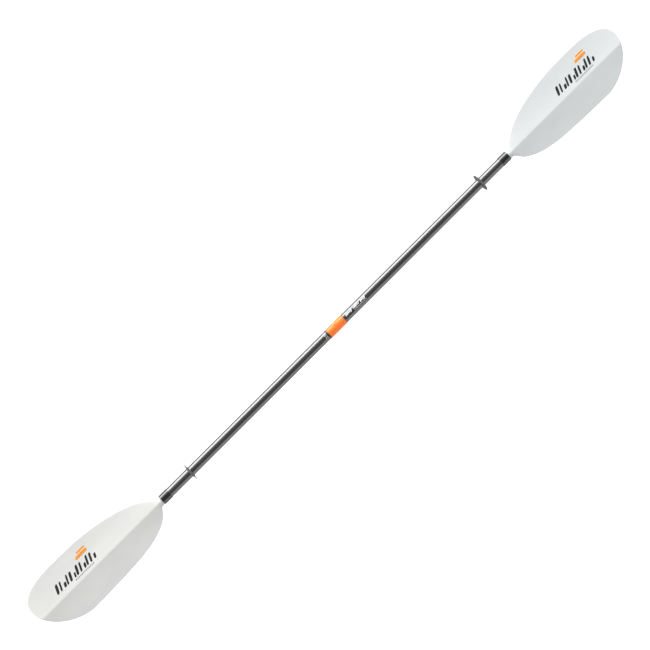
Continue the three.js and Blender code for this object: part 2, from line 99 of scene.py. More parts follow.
BLADE_LENGTH = 463.5 * MM
BLADE_LONG_SIDE = 91 * MM  # from the ridge to the long edge, at the widest
BLADE_SHORT_SIDE = 79.5 * MM
BLADE_TIP_Y = 30 * MM  # how far the tip lies to the long side of the ridge
BLADE_WIDEST_U = 330 * MM  # from the shaft's end to where the tip curve begins
LONG_TIP_POWER = 2.5  # exponents of the two tip curves, 2 is an ellipse
SHORT_TIP_POWER = 1.8
BLADE_SPOON = 28 * MM  # how far the tip is curved up
BLADE_DIHEDRAL = 0.14  # fall of each half away from the ridge
LONG_EASE = 0.6  # share of that fall which is gone at the long edge
SHORT_EASE = 0.3  # the same for the short edge
PLATE_HALF = 1.6 * MM  # half the plate's thickness beside the spine
EDGE_HALF = 0.9 * MM
EDGE_TAPER = 4  # exponent, so that the plate thins only near its edges
NECK_RADIUS = 13.6 * MM  # where the blade begins
TANG_RADIUS = 12.2 * MM  # the round stem inside the shaft
TANG_LENGTH = 60 * MM
SPINE_END_U = 360 * MM  # where the spine on the back runs out
SPINE_END_HALF_WIDTH = 7 * MM
RISE_END_U = 170 * MM  # where the neck has blended into the power face
LIFT_SHARE = 0.92  # of the neck's rise, how much lifts the whole plate, not only the ridge
ROOF_U = 25 * MM  # where the round neck has become a sharp ridge
ROOF_WIDE_U = 45 * MM  # where the ridge has its full width
ROOF_HALF_WIDTH = 32 * MM  # that full width, to either side
ROOF_POWER = 1.1  # exponent of the ridge's section, 1 is a plain roof and 2 is round
RIDGE_MARGIN = 0.15  # share of the width that the middle column keeps from either edge
RIDGE_ROUND = 1.5 * MM  # radius of the ridge's crest
FILLET_U = 70 * MM  # from here on the spine has a fillet on both sides
SPINE_FILLET = 1.35  # how much wider the spine is with its fillets
SPINE_ROUND_POWER = 0.5  # exponents of the spine's section, without fillets and with them
SPINE_FILLET_POWER = 1.5
# The edges' distance from the ridge, against the distance from the shaft's end, in millimetres.
LONG_FLANK = [
    (0, 13.6), (10, 14.6), (21, 21.6), (44, 36), (78, 53.4),
    (125, 69), (182, 81), (250, 89.3), (330, 91),
]
SHORT_FLANK = [
    (0, 13.6), (12, 14.6), (21, 26), (32, 37.5), (55, 51),
    (90, 63), (140, 71.8), (220, 76.8), (330, 79.5),
]

HALF_COLUMNS = 34  # across each half of a blade
RIM_STEPS = 5
RIM_SHARE = 0.125  # the most of the blade's width that either rim takes up
NECK_STATIONS = 54
NECK_BUNCHING = 1.5  # exponent that draws the sections together at the shaft
BODY_STATIONS = 44
TIP_STATIONS = 48
NECK_END_U = 125 * MM
JOINT_GAP = 0.3 * MM  # between parts that meet end to end
TIP_TRIM = 0.02 * MM  # the mesh ends this short of the mathematical tip

DRIP_HUB_WALL = 1.4 * MM
DRIP_HUB_ROUND = 0.5 * MM
DRIP_ROOT_HALF = 2.3 * MM  # half the flange's thickness at the hub
DRIP_RIM_HALF = 0.7 * MM
DRIP_FLARE_POWER = 1.8
DRIP_STEPS = 16

BUTTON_ANGLE = math.pi / 4  # the button faces up and to the long edges
BUTTON_LENGTH = 13.4 * MM
BUTTON_WIDTH = 8.4 * MM
BUTTON_TOP = 15.7 * MM  # from the shaft's axis
BUTTON_EDGE = 0.5 * MM  # radius of its rim
BUTTON_DISH = 0.35 * MM
DISH_STEPS = 8
DISH_SLOPE = (0.1, 0.9)  # where the dish begins and where it is level, as shares of the way in
DISH_REACH = 0.97  # how much of the way to its middle line the dish is modelled
LIP_OVERHANG = 1.3 * MM  # how far the lip that holds the button in stands out all round
LIP_BOTTOM = 13.5 * MM
LIP_TOP = 13.9 * MM
POCKET_BOTTOM = 11.7 * MM  # of the space in which the lip moves
POCKET_TOP = 14.2 * MM
WINDOW_GAP = 0.3 * MM
WINDOW_CHAMFER = 0.25 * MM
COLLAR_ROUND = 0.8 * MM
CUT_SPARE = 1 * MM  # how far a cutter goes past what it cuts

INSERT_RADIUS = 10.4 * MM
INSERT_BORE = 8.4 * MM
INSERT_CHAMFER = 0.8 * MM
GROOVE_DEPTH = 0.8 * MM
FLANGE_LENGTH = 5 * MM
FLANGE_ROUND = 0.4 * MM
LINER_BORE = 10.5 * MM
LINER_MOUTH = 0.9 * MM  # size of the chamfer at its mouth
LINER_ROUND = 0.4 * MM
PIN_HOLE_RADIUS = 2.8 * MM
PIN_HOLE_BOTTOM = 5 * MM
PIN_HOLE_TOP = 20 * MM
BOSS_RADIUS = 2.4 * MM  # of the button's foot
BOSS_BOTTOM = 12.15 * MM
BOSS_ROUND = 0.4 * MM
ROD_SIDES = 48
SEAL_STEPS = 12
SEAL_DOME_POWER = 0.7
CAP_STEM_RADIUS = 8.3 * MM
CAP_HEAD_RADIUS = 10.1 * MM
CAP_HEAD = 2 * MM
CAP_ROUND = 0.8 * MM
DIMPLE_RADIUS = 5 * MM
DIMPLE_DEPTH = 0.7 * MM

INK_LIFT = 0.12 * MM  # half the thickness of a printed mark
SHARP_EDGE = math.radians(35)  # from here on an edge of a cut piece is shaded sharp
MERGE_DISTANCE = 1e-7

# ---------------------------------------------------------------- mesh helpers


def smooth_through(points):
    """A cubic through (x, y) points in millimetres, with the slope of their neighbours."""
    knots = [(x * MM, y * MM) for x, y in points]
    last = len(knots) - 1
    slopes = []
    for i in range(len(knots)):
        (x0, y0), (x1, y1) = knots[max(i - 1, 0)], knots[min(i + 1, last)]
        slopes.append((y1 - y0) / (x1 - x0))

    def curve(x):
        i = next(k for k in range(1, len(knots)) if k == last or knots[k][0] >= x) - 1
        (x0, y0), (x1, y1) = knots[i], knots[i + 1]
        span = x1 - x0
        t = (x - x0) / span
        leave = t * (1 - t) ** 2 * span * slopes[i]
        arrive = t * t * (t - 1) * span * slopes[i + 1]
        return y0 + (y1 - y0) * (3 * t * t - 2 * t**3) + leave + arrive

    return curve


def lerp(a, b, share):
    return a + (b - a) * share


def smoothstep(x, start, end):
    t = min(max((x - start) / (end - start), 0), 1)
    return t * t * (3 - 2 * t)


def superellipse(share, power):
    return max(0, 1 - abs(share) ** power) ** (1 / power)


def on_shaft(x, angle, radius):
    """A point round the shaft's axis; the angle goes from the top towards the long edges."""
    return Vector((x, AXIS_Y + radius * math.sin(angle), AXIS_Z + radius * math.cos(angle)))


def new_piece(name, mesh, material, body, nodes=()):
    """Puts a mesh in the scene as a piece of the paddle, on its body and in place of its nodes."""
    mesh.materials.clear()
    mesh.materials.append(material)
    mesh.shade_smooth()
    piece = bpy.data.objects.new(name, mesh)
    bpy.context.scene.collection.objects.link(piece)
    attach(piece, body)
    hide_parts(*nodes)


def mesh_from(name, points, faces):
    mesh = bpy.data.meshes.new(name)
    mesh.from_pydata(points, [], faces)
    mesh.validate()
    bm = bmesh.new()
    bm.from_mesh(mesh)
    bmesh.ops.remove_doubles(bm, verts=bm.verts, dist=MERGE_DISTANCE)
    bmesh.ops.recalc_face_normals(bm, faces=bm.faces)
    bm.to_mesh(mesh)
    bm.free()
    return mesh


def turned(name, profile, sides=SIDES):
    """A closed body turned about the shaft's axis from a loop of (x, radius) points.

    Its UVs are metres along the shaft and metres round it.
    """
    bm = bmesh.new()
    uv = bm.loops.layers.uv.new("length_and_girth")
    turn = 2 * math.pi / sides
    rings = [
        [bm.verts.new(on_shaft(x, i * turn, radius)) for x, radius in profile] for i in range(sides)
    ]
    for i in range(sides):
        for j, (x0, _) in enumerate(profile):
            k = (j + 1) % len(profile)
            x1 = profile[k][0]
            after = (i + 1) % sides
            face = bm.faces.new((rings[i][j], rings[i][k], rings[after][k], rings[after][j]))
            corners = ((x0, i), (x1, i), (x1, i + 1), (x0, i + 1))
            for loop, (x, step) in zip(face.loops, corners):
                loop[uv].uv = (x, step * turn * SHAFT_RADIUS)
    bmesh.ops.remove_doubles(bm, verts=bm.verts, dist=MERGE_DISTANCE)
    bmesh.ops.delete(bm, geom=[edge for edge in bm.edges if edge.is_wire], context="EDGES")
    bmesh.ops.recalc_face_normals(bm, faces=bm.faces)
    mesh = bpy.data.meshes.new(name)
    bm.to_mesh(mesh)
    bm.free()
    return mesh


def arc(x, radius, size, start, end, steps=6):
    """Points on a rounded corner: its centre is (x, radius), and angles are in degrees from +X."""
    angles = [math.radians(lerp(start, end, i / steps)) for i in range(steps + 1)]
    return [(x + size * math.cos(a), radius + size * math.sin(a)) for a in angles]


def sleeve_profile(start, end, inner, outer, edge):
    """A tube's section with round outer edges."""
    return [
        (start, inner),
        *arc(start + edge, outer - edge, edge, 180, 90),
        *arc(end - edge, outer - edge, edge, 90, 0),
        (end, inner),
    ]


def lofted(name, loops):
    """Joins loops of equal length into one closed body.

    A loop's first half faces its second half, so each end is closed by a strip between the two.
    """
    count = len(loops[0])
    faces = []
    for i in range(len(loops) - 1):
        for j in range(count):
            k = (j + 1) % count
            faces.append((i * count + j, (i + 1) * count + j, (i + 1) * count + k, i * count + k))
    for start in (0, (len(loops) - 1) * count):
        for j in range(count // 2 - 1):
            back = count - 1 - j
            faces.append((start + j, start + j + 1, start + back - 1, start + back))
    return mesh_from(name, [point for loop in loops for point in loop], faces)


def cut_by(mesh, cutter):
    """The mesh with the cutter's space taken out of it."""
    body = bpy.data.objects.new("cut_body", mesh)
    tool = bpy.data.objects.new("cut_tool", cutter)
    for thing in (body, tool):
        bpy.context.scene.collection.objects.link(thing)
    boolean = body.modifiers.new("cut", "BOOLEAN")
    boolean.operation = "DIFFERENCE"
    boolean.solver = "EXACT"
    boolean.object = tool
    graph = bpy.context.evaluated_depsgraph_get()
    result = bpy.data.meshes.new_from_object(body.evaluated_get(graph))
    for thing in (body, tool):
        bpy.data.objects.remove(thing)
    return result


# ---------------------------------------------------------------- material helpers


def new_material(name, **values):
    """A Principled material; each value is set on the socket whose name it spells."""
    material = bpy.data.materials.new(name)
    material.use_nodes = True
    shader = material.node_tree.nodes["Principled BSDF"]
    for key, value in values.items():
        shader.inputs[key.replace("_", " ")].default_value = value
    return material, material.node_tree, shader


def node(tree, kind, inputs, **settings):
    """Adds a shader node; an input is either another node's socket or a plain value."""
    made = tree.nodes.new("ShaderNode" + kind)
    for key, value in settings.items():
        setattr(made, key, value)
    for key, value in inputs.items():
        if isinstance(value, bpy.types.NodeSocket):
            tree.links.new(value, made.inputs[key])
        else:
            made.inputs[key].default_value = value
    return made


def maths(tree, operation, a, b=0.0):
    return node(tree, "Math", {0: a, 1: b}, operation=operation).outputs[0]


def weighted(tree, first, share, second, other_share):
    """The sum of two values, each times its share."""
    one = maths(tree, "MULTIPLY", first, share)
    other = maths(tree, "MULTIPLY", second, other_share)
    return maths(tree, "ADD", one, other)


def remapped(tree, value, low, high, start=0.0, end=1.0):
    inputs = {"Value": value, "From Min": start, "From Max": end, "To Min": low, "To Max": high}
    return node(tree, "MapRange", inputs).outputs["Result"]


def colours(tree, share, first, second):
    """Goes from the first colour to the second as the share goes from 0 to 1."""
    mixed = node(tree, "Mix", {"Factor": share}, data_type="RGBA")
    for socket, colour in zip((s for s in mixed.inputs if s.type == "RGBA"), (first, second)):
        if isinstance(colour, bpy.types.NodeSocket):
            tree.links.new(colour, socket)
        else:
            socket.default_value = (*colour, 1)
    return next(s for s in mixed.outputs if s.type == "RGBA")


def own_place(tree, stretch=(1, 1, 1)):
    """The point's place in the object's own frame, stretched."""
    place = node(tree, "TexCoord", {}).outputs["Object"]
    return node(tree, "Mapping", {"Vector": place, "Scale": stretch}).outputs["Vector"]


def noise(tree, place, scale, detail=3.0, roughness=0.5):
    inputs = {"Vector": place, "Scale": scale, "Detail": detail, "Roughness": roughness}
    return node(tree, "TexNoise", inputs).outputs["Fac"]


def bumped(tree, shader, height, distance, strength=1.0):
    normal = node(tree, "Bump", {"Height": height, "Distance": distance, "Strength": strength})
    tree.links.new(normal.outputs["Normal"], shader.inputs["Normal"])


def drive(tree, shader, **sockets):
    for key, socket in sockets.items():
        tree.links.new(socket, shader.inputs[key.replace("_", " ")])


# ---------------------------------------------------------------- materials


def carbon_material(name, dark, light):
    """Woven carbon under clear lacquer: a 2 by 2 twill, laid out by the tube's UVs."""
    material, tree, shader = new_material(
        name, Specular_IOR_Level=1.0, Coat_Weight=1.0, Coat_Roughness=0.04, Coat_IOR=1.6
    )
    spot = node(tree, "UVMap", {}, uv_map="length_and_girth").outputs["UV"]
    split = node(tree, "SeparateXYZ", {"Vector": spot})
    along = maths(tree, "DIVIDE", split.outputs["X"], CARBON_TOW)
    round_it = maths(tree, "DIVIDE", split.outputs["Y"], CARBON_TOW)
    steps = maths(tree, "ADD", maths(tree, "FLOOR", along), maths(tree, "FLOOR", round_it))
    place_in_repeat = maths(tree, "FLOORED_MODULO", steps, TWILL_REPEAT)
    warp_up = maths(tree, "LESS_THAN", place_in_repeat, TWILL_REPEAT / 2 - 0.5)

    def crown(across):
        """A tow's round back: 1 in its middle and 0 at its sides."""
        away = maths(tree, "SUBTRACT", maths(tree, "FRACT", across), 0.5)
        fall = maths(tree, "MULTIPLY", maths(tree, "POWER", away, 2.0), 4.0)
        return maths(tree, "SUBTRACT", 1.0, fall)

    def filaments(stretch):
        place = node(tree, "Mapping", {"Vector": spot, "Scale": stretch}).outputs["Vector"]
        return noise(tree, place, 1.0, 4.0, 0.6)

    both = node(tree, "Mix", {"Factor": warp_up}, data_type="FLOAT")
    floats = [s for s in both.inputs if s.type == "VALUE"][1:]
    tree.links.new(crown(along), floats[0])
    tree.links.new(crown(round_it), floats[1])
    height = next(s for s in both.outputs if s.type == "VALUE")
    warp_tone = filaments((300, 9000, 1))
    weft_tone = filaments((9000, 300, 1))
    warp = colours(tree, warp_tone, dark, light)
    weft_dark = [c * WEFT_DARK for c in dark]
    weft_light = [c * WEFT_LIGHT for c in light]
    weft = colours(tree, weft_tone, weft_dark, weft_light)
    weave = colours(tree, warp_up, weft, warp)
    blotches = noise(tree, own_place(tree), 22.0, 2.0)
    value = remapped(tree, blotches, 0.8, 1.2)
    shaded = node(tree, "HueSaturation", {"Color": weave, "Value": value})
    drive(
        tree,
        shader,
        Base_Color=shaded.outputs["Color"],
        Roughness=remapped(tree, warp_tone, 0.14, 0.24),
    )
    bumped(tree, shader, height, 0.00012, 0.2)
    return material


def nylon_material(name, pale, deep):
    """Glass-filled nylon as it comes from the mould: clouded, with short fibres and a fine grain."""
    material, tree, shader = new_material(
        name, Specular_IOR_Level=0.5, Coat_Weight=0.12, Coat_Roughness=0.35
    )
    clouds = noise(tree, own_place(tree, (6, 14, 14)), 1.0, 3.0, 0.55)
    fibres = noise(tree, own_place(tree, (350, 1500, 1500)), 1.0, 4.0, 0.6)
    tone = remapped(tree, weighted(tree, clouds, 0.7, fibres, 0.3), 0.0, 1.0, 0.33, 0.67)
    grain = noise(tree, own_place(tree), 2600.0, 2.0)
    drive(
        tree,
        shader,
        Base_Color=colours(tree, tone, deep, pale),
        Roughness=remapped(tree, fibres, 0.42, 0.58, 0.3, 0.7),
    )
    bumped(tree, shader, weighted(tree, clouds, 1.6, grain, 0.25), 0.0001, 0.35)
    return material


def plastic_material(name, base, vein, roughness, grain_size, depth, **values):
    """Moulded plastic with a fine spark-eroded grain and faint flow marks."""
    material, tree, shader = new_material(name, **values)
    flow = noise(tree, own_place(tree, (60, 190, 190)), 1.0, 3.0, 0.6)
    grain = noise(tree, own_place(tree), 1 / grain_size, 2.0)
    drive(
        tree,
        shader,
        Base_Color=colours(tree, remapped(tree, flow, 0.0, 1.0, 0.3, 0.7), base, vein),
        Roughness=remapped(tree, grain, roughness * 0.85, roughness * 1.15, 0.3, 0.7),
    )
    bumped(tree, shader, grain, depth, 0.5)
    return material


def sleeve_material():
    """Shrunk tubing: glossy, with the faint long ripples that shrinking leaves."""
    material, tree, shader = new_material(
        "shrunk_sleeve", Specular_IOR_Level=0.7, Coat_Weight=0.6, Coat_Roughness=0.04
    )
    ripples = noise(tree, own_place(tree, (40, 420, 420)), 1.0, 2.0)
    dust = noise(tree, own_place(tree), 1800.0, 2.0)
    drive(
        tree,
        shader,
        Base_Color=colours(tree, dust, (0.006, 0.006, 0.008), (0.014, 0.014, 0.017)),
        Roughness=remapped(tree, dust, 0.05, 0.09),
    )
    bumped(tree, shader, ripples, 0.0003, 0.1)
    return material


def foam_material():
    """Closed-cell foam: a skin of small round cells."""
    material, tree, shader = new_material("closed_cell_foam", Specular_IOR_Level=0.3)
    cells = node(tree, "TexVoronoi", {"Vector": own_place(tree), "Scale": 900.0}).outputs["Distance"]
    drive(
        tree,
        shader,
        Base_Color=colours(tree, cells, (0.78, 0.75, 0.66), (0.55, 0.52, 0.44)),
        Roughness=remapped(tree, cells, 0.8, 0.97),
    )
    bumped(tree, shader, cells, 0.0004, 0.8)
    return material


def steel_material():
    """Spring steel, ground along its length."""
    material, tree, shader = new_material("spring_steel", Metallic=1.0)
    lines = noise(tree, own_place(tree, (300, 9000, 9000)), 1.0, 3.0, 0.6)
    drive(
        tree,
        shader,
        Base_Color=colours(tree, lines, (0.42, 0.42, 0.43), (0.66, 0.66, 0.67)),
        Roughness=remapped(tree, lines, 0.22, 0.4),
    )
    bumped(tree, shader, lines, 0.00003, 0.5)
    return material


def ink_material(name, base, worn):
    """Pad-printed ink, with pinholes and a slightly uneven coat."""
    material, tree, shader = new_material(name, Specular_IOR_Level=0.4)
    coat = noise(tree, own_place(tree), 700.0, 4.0, 0.65)
    drive(
        tree,
        shader,
        Base_Color=colours(tree, remapped(tree, coat, 0.0, 1.0, 0.3, 0.75), base, worn),
        Roughness=remapped(tree, coat, 0.32, 0.5),
    )
    bumped(tree, shader, coat, 0.00002, 0.4)
    return material


# The two carbon copies differ only by painted light: the left one is tinted warmer and the right one
# cooler, as if the studio light had tinted each half.
CARBON_LEFT_PAINTED_WARM_LIGHT = carbon_material("twill_carbon_left_painted_warm_light", (0.014, 0.013, 0.012), (0.05, 0.048, 0.044))
CARBON_RIGHT_PAINTED_COOL_LIGHT = carbon_material("twill_carbon_right_painted_cool_light", (0.013, 0.013, 0.015), (0.047, 0.047, 0.052))
# The two nylon copies differ only by painted light: the left blade's copy is tinted warmer and the
# right blade's cooler, as if the studio light had tinted each blade.
NYLON_LEFT_PAINTED_WARM_LIGHT = nylon_material("glass_nylon_left_painted_warm_light", (0.61, 0.61, 0.595), (0.545, 0.545, 0.53))
NYLON_RIGHT_PAINTED_COOL_LIGHT = nylon_material("glass_nylon_right_painted_cool_light", (0.585, 0.605, 0.605), (0.525, 0.55, 0.55))
SLEEVE = sleeve_material()
FOAM = foam_material()
STEEL = steel_material()
RUBBER = plastic_material(
    "drip_rubber",
    (0.065, 0.065, 0.067),
    (0.1, 0.1, 0.103),
    0.62,
    0.5 * MM,
    0.00006,
    Specular_IOR_Level=0.5,
)
BLACK_PLASTIC = plastic_material(
    "ferrule_nylon", (0.018, 0.018, 0.02), (0.034, 0.034, 0.037), 0.42, 0.4 * MM, 0.00005
)
ORANGE = plastic_material(
    "orange_collar",
    (0.95, 0.165, 0.012),
    (0.95, 0.2, 0.018),
    0.3,
    0.45 * MM,
    0.00001,
    Specular_IOR_Level=0.5,
    Coat_Weight=0.15,
    Coat_Roughness=0.1,
)
BLACK_INK = ink_material("black_ink", (0.006, 0.006, 0.007), (0.02, 0.02, 0.022))
GREY_INK = ink_material("grey_ink", (0.16, 0.16, 0.17), (0.25, 0.25, 0.26))
ORANGE_INK = ink_material("orange_ink", (0.68, 0.23, 0.012), (0.74, 0.29, 0.035))
WHITE_INK = ink_material("white_ink", (0.86, 0.87, 0.89), (0.68, 0.69, 0.71))

# ---------------------------------------------------------------- blades

long_flank = smooth_through(LONG_FLANK)
short_flank = smooth_through(SHORT_FLANK)


def edge_y(u, flank, widest, power):
    if u <= BLADE_WIDEST_U:
        return math.copysign(flank(u), widest)
    share = (u - BLADE_WIDEST_U) / (BLADE_LENGTH - BLADE_WIDEST_U)
    return BLADE_TIP_Y + (widest - BLADE_TIP_Y) * superellipse(share, power)


def blade_edges(u):
    low = edge_y(u, short_flank, -BLADE_SHORT_SIDE, SHORT_TIP_POWER)
    high = edge_y(u, long_flank, BLADE_LONG_SIDE, LONG_TIP_POWER)
    return low, high


def neck_rise(u):
    """How far the round neck stands over a plate on the shaft's axis, at its middle."""
    return (NECK_RADIUS - EDGE_HALF) * (1 - smoothstep(u, 0, RISE_END_U))


def plate_lift(u):
    return neck_rise(u) * LIFT_SHARE * smoothstep(u, 0, ROOF_U)


def middle_height(u, y):
    """Height of the plate's middle surface over the shaft's axis, with its ridge and spoon."""
    away = math.sqrt(y * y + RIDGE_ROUND**2) - RIDGE_ROUND
    ease = LONG_EASE if y > 0 else SHORT_EASE
    eased = away * (1 - ease * min(abs(y) / BLADE_LONG_SIDE, 1))
    dihedral = BLADE_DIHEDRAL * eased * smoothstep(u, 0, ROOF_U)
    return BLADE_SPOON * (u / BLADE_LENGTH) ** 2 + plate_lift(u) - dihedral


def half_thickness(u, share):
    """Half the plate's thickness; the share goes from 0 at the middle column to 1 at an edge."""
    flat = lerp(PLATE_HALF, EDGE_HALF, max(share**EDGE_TAPER, 1 - smoothstep(u, 0, ROOF_U)))
    to_tip = min((BLADE_LENGTH - u) / (2 * EDGE_HALF), 1)
    return flat * math.sqrt(1 - (1 - to_tip) ** 2)


def neck_height(u, y):
    """How far the neck's roof stands over the plate on the power face."""
    half_width = lerp(NECK_RADIUS, ROOF_HALF_WIDTH, smoothstep(u, 0, ROOF_WIDE_U))
    roof = lerp(2, ROOF_POWER, smoothstep(u, 0, ROOF_U))
    return (neck_rise(u) - plate_lift(u)) * superellipse(min(abs(y) / half_width, 1), roof)


def spine_height(u, y):
    """How far the spine stands out of the plate on the back."""
    share = min(u / SPINE_END_U, 1)
    fillet = smoothstep(u, 0, FILLET_U)
    half_width = lerp(NECK_RADIUS, SPINE_END_HALF_WIDTH, share) * lerp(1, SPINE_FILLET, fillet)
    across = min(abs(y) / half_width, 1)
    rise = (NECK_RADIUS - EDGE_HALF) * (1 - share) ** 2 + plate_lift(u)
    return rise * (1 - across * across) ** lerp(SPINE_ROUND_POWER, SPINE_FILLET_POWER, fillet)


def blade_loop(u):
    """The section at u as (y, z) from the axis: over the power face, round the rim and back."""
    low, high = blade_edges(u)
    margin = RIDGE_MARGIN * (high - low)
    middle = min(max(0, low + margin), high - margin)
    rim = min(EDGE_HALF, (high - low) * RIM_SHARE)
    columns = []
    for step in range(-HALF_COLUMNS, HALF_COLUMNS + 1):
        share = step / HALF_COLUMNS
        eased = math.copysign((1 - math.cos(math.pi * share)) / 2, share)
        reach = (high - rim - middle) if share > 0 else (middle - low - rim)
        columns.append((middle + eased * reach, abs(eased)))

    power_face = []
    back_face = []
    for y, share in columns:
        height = middle_height(u, y)
        half = half_thickness(u, share)
        power_face.append((y, height + half + neck_height(u, y)))
        back_face.insert(0, (y, height - half - spine_height(u, y)))

    def rim_arc(start, end, side):
        points = []
        for step in range(1, RIM_STEPS):
            turn = math.pi * step / RIM_STEPS
            top = (start[1] + end[1]) / 2 + (start[1] - end[1]) / 2 * math.cos(turn)
            points.append((start[0] + side * rim * math.sin(turn), top))
        return points

    half_rim = RIM_STEPS // 2
    long_rim = rim_arc(power_face[-1], back_face[0], 1)
    short_rim = rim_arc(back_face[-1], power_face[0], -1)
    loop = power_face + long_rim + back_face + short_rim
    return loop[-half_rim:] + loop[:-half_rim]


def blade_stations():
    neck = [
        NECK_END_U * (i / NECK_STATIONS) ** NECK_BUNCHING for i in range(1, NECK_STATIONS + 1)
    ]
    reach = BLADE_WIDEST_U - NECK_END_U
    body = [NECK_END_U + reach * i / BODY_STATIONS for i in range(1, BODY_STATIONS + 1)]
    reach = BLADE_LENGTH - TIP_TRIM - BLADE_WIDEST_U
    tip = [
        BLADE_WIDEST_U + reach * math.sin(math.pi / 2 * i / TIP_STATIONS)
        for i in range(1, TIP_STATIONS + 1)
    ]
    return [JOINT_GAP, *neck, *body, *tip]


def make_blade(side, material):
    """`side` is 1 for the right blade and -1 for the left one, its mirror image."""
    name = "right" if side > 0 else "left"
    shrink = TANG_RADIUS / NECK_RADIUS
    stem = [(y * shrink, z * shrink) for y, z in blade_loop(0)]
    sections = [(-TANG_LENGTH, stem), (JOINT_GAP, stem)]
    sections += [(u, blade_loop(u)) for u in blade_stations()]
    loops = [
        [(side * (SHAFT_END_X + u), AXIS_Y + y, AXIS_Z + z) for y, z in loop] for u, loop in sections
    ]
    mesh = lofted(f"{name}_blade_moulding", loops)
    nodes = [f"{name}_blade"]
    new_piece(f"{name}_blade_moulding", mesh, material, f"{name}_half", nodes)


def on_blade(x, y, lift):
    """A point on either blade's power face; y is measured from the ridge."""
    u = abs(x) - SHAFT_END_X
    low, high = blade_edges(u)
    share = abs(y) / (high if y > 0 else -low)
    top = middle_height(u, y) + half_thickness(u, share) + neck_height(u, y)
    return Vector((x, AXIS_Y + y, AXIS_Z + top + lift))


# ---------------------------------------------------------------- printed marks

CORNER_ROUND = 0.14  # how far a shape's corners are drawn in, as a share of its half size
MARK_START = {"right": 911 * MM, "left": -1067 * MM}
STROKES = 12
STROKE_PITCH = 12.4 * MM
STROKE_FIRST = 0.7  # the first bar's place, in pitches
STROKE_WIDTH = 7.2 * MM
STROKE_SWELL = 0.18  # the share by which the widths vary
STROKE_SWELL_WAVE = 3.3  # radians from one bar to the next
STROKE_FOOT = 17 * MM
STROKE_HEIGHT = 21 * MM
STROKE_SWING = 8 * MM  # how far the heights rise and fall
STROKE_WAVE = 2.1
STROKE_WAVE_START = 0.6
STROKE_SLANT = 0.45
DASHES = 13
DASH_START = 64 * MM
DASH_LINE = 11.5 * MM  # from the ridge
DASH_PITCH = 5.4 * MM
DASH_SHARE = 0.62  # of the pitch that a dash takes up
DASH_HEIGHT = 4 * MM
# The orange bars, in millimetres: their middle along and across, their length and their height.
ACCENTS = [(121, 54, 42, 9), (127, 63.5, 30, 5)]

LABEL_BARS = 16
LABEL_WORD = 6  # every sixth bar is left out
LABEL_FIRST = 0.8  # the first bar's place, in pitches
LABEL_BAR_SHARE = 0.6
LABEL_BAR_LINE = 3.4 * MM
LABEL_BAR_HEIGHT = 6.4 * MM
LABEL_BAR_SWING = 2.4 * MM
LABEL_BAR_WAVE = 1.7
LABEL_WAVE_START = 1.0
LABEL_SLANT = 0.5
RULE_LINE = -3.2 * MM
RULE_SHIFT = 3  # pitches from the label's middle
RULE_LENGTH = 10  # pitches
RULE_HEIGHT = 0.9 * MM

SCALE_STEP = math.radians(15)
SCALE_STEPS = 4  # either way from the middle
TICK_LONG = 3.6 * MM
TICK_SHORT = 2.4 * MM
TICK_WIDTH = 0.8 * MM
TICK_INSET = 0.4 * MM  # from the film's end
TICK_FINE = 4
NUMERAL_INSET = 8.6 * MM
NUMERAL_SIZE = 4.2 * MM
NUMERAL_WEIGHT = 0.1 * MM
INDEX_SHARE = 0.7  # of the flange's length


def patches(name, shapes, place, fine=8):
    """Thin closed plates of ink. A shape is (centre s, centre t, width, height, slant).

    `place(s, t, lift)` puts a point of the artwork on its surface, and `fine` is the number of
    squares each way in a plate.
    """
    points = []
    faces = []
    row = fine + 1
    for s0, t0, width, height, slant in shapes:
        start = len(points)
        for lift in (INK_LIFT, -INK_LIFT):
            for i in range(row):
                for j in range(row):
                    a, b = 2 * i / fine - 1, 2 * j / fine - 1
                    a, b = a * (1 - CORNER_ROUND * b**4), b * (1 - CORNER_ROUND * a**4)
                    up = b * height / 2
                    points.append(place(s0 + a * width / 2 + slant * up, t0 + up, lift))
        under = row * row
        for i in range(fine):
            for j in range(fine):
                k = start + i * row + j
                faces.append((k, k + row, k + row + 1, k + 1))
                faces.append((k + under, k + under + 1, k + under + row + 1, k + under + row))
        rim = [i * row for i in range(row)]
        rim += [fine * row + j for j in range(1, row)]
        rim += [i * row + fine for i in range(fine - 1, -1, -1)]
        rim += list(range(fine - 1, 0, -1))
        for i, a in enumerate(rim):
            b = rim[(i + 1) % len(rim)]
            faces.append((start + a, start + a + under, start + b + under, start + b))
    return mesh_from(name, points, faces)


def blade_marks(name):
    """A row of slanted bars that rise and fall like a wave, a dashed line and two orange bars."""
    start = MARK_START[name]

    def place(s, t, lift):
        return on_blade(start + s, t, lift)

    bars = []
    for i in range(STROKES):
        height = STROKE_HEIGHT + STROKE_SWING * math.sin(STROKE_WAVE * i + STROKE_WAVE_START)
        width = STROKE_WIDTH * (1 + STROKE_SWELL * math.cos(STROKE_SWELL_WAVE * i))
        middle = (i + STROKE_FIRST) * STROKE_PITCH
        bars.append((middle, STROKE_FOOT + height / 2, width, height, STROKE_SLANT))
    dashes = [
        (DASH_START + i * DASH_PITCH, DASH_LINE, DASH_PITCH * DASH_SHARE, DASH_HEIGHT, STROKE_SLANT)
        for i in range(DASHES)
    ]
    accents = [(*(size * MM for size in accent), STROKE_SLANT) for accent in ACCENTS]
    for part, shapes, ink in (
        ("bars", bars, BLACK_INK), ("dashes", dashes, GREY_INK), ("accents", accents, ORANGE_INK)
    ):
        mesh = patches(f"{name}_blade_{part}", shapes, place)
        new_piece(f"{name}_blade_{part}", mesh, ink, f"{name}_half")


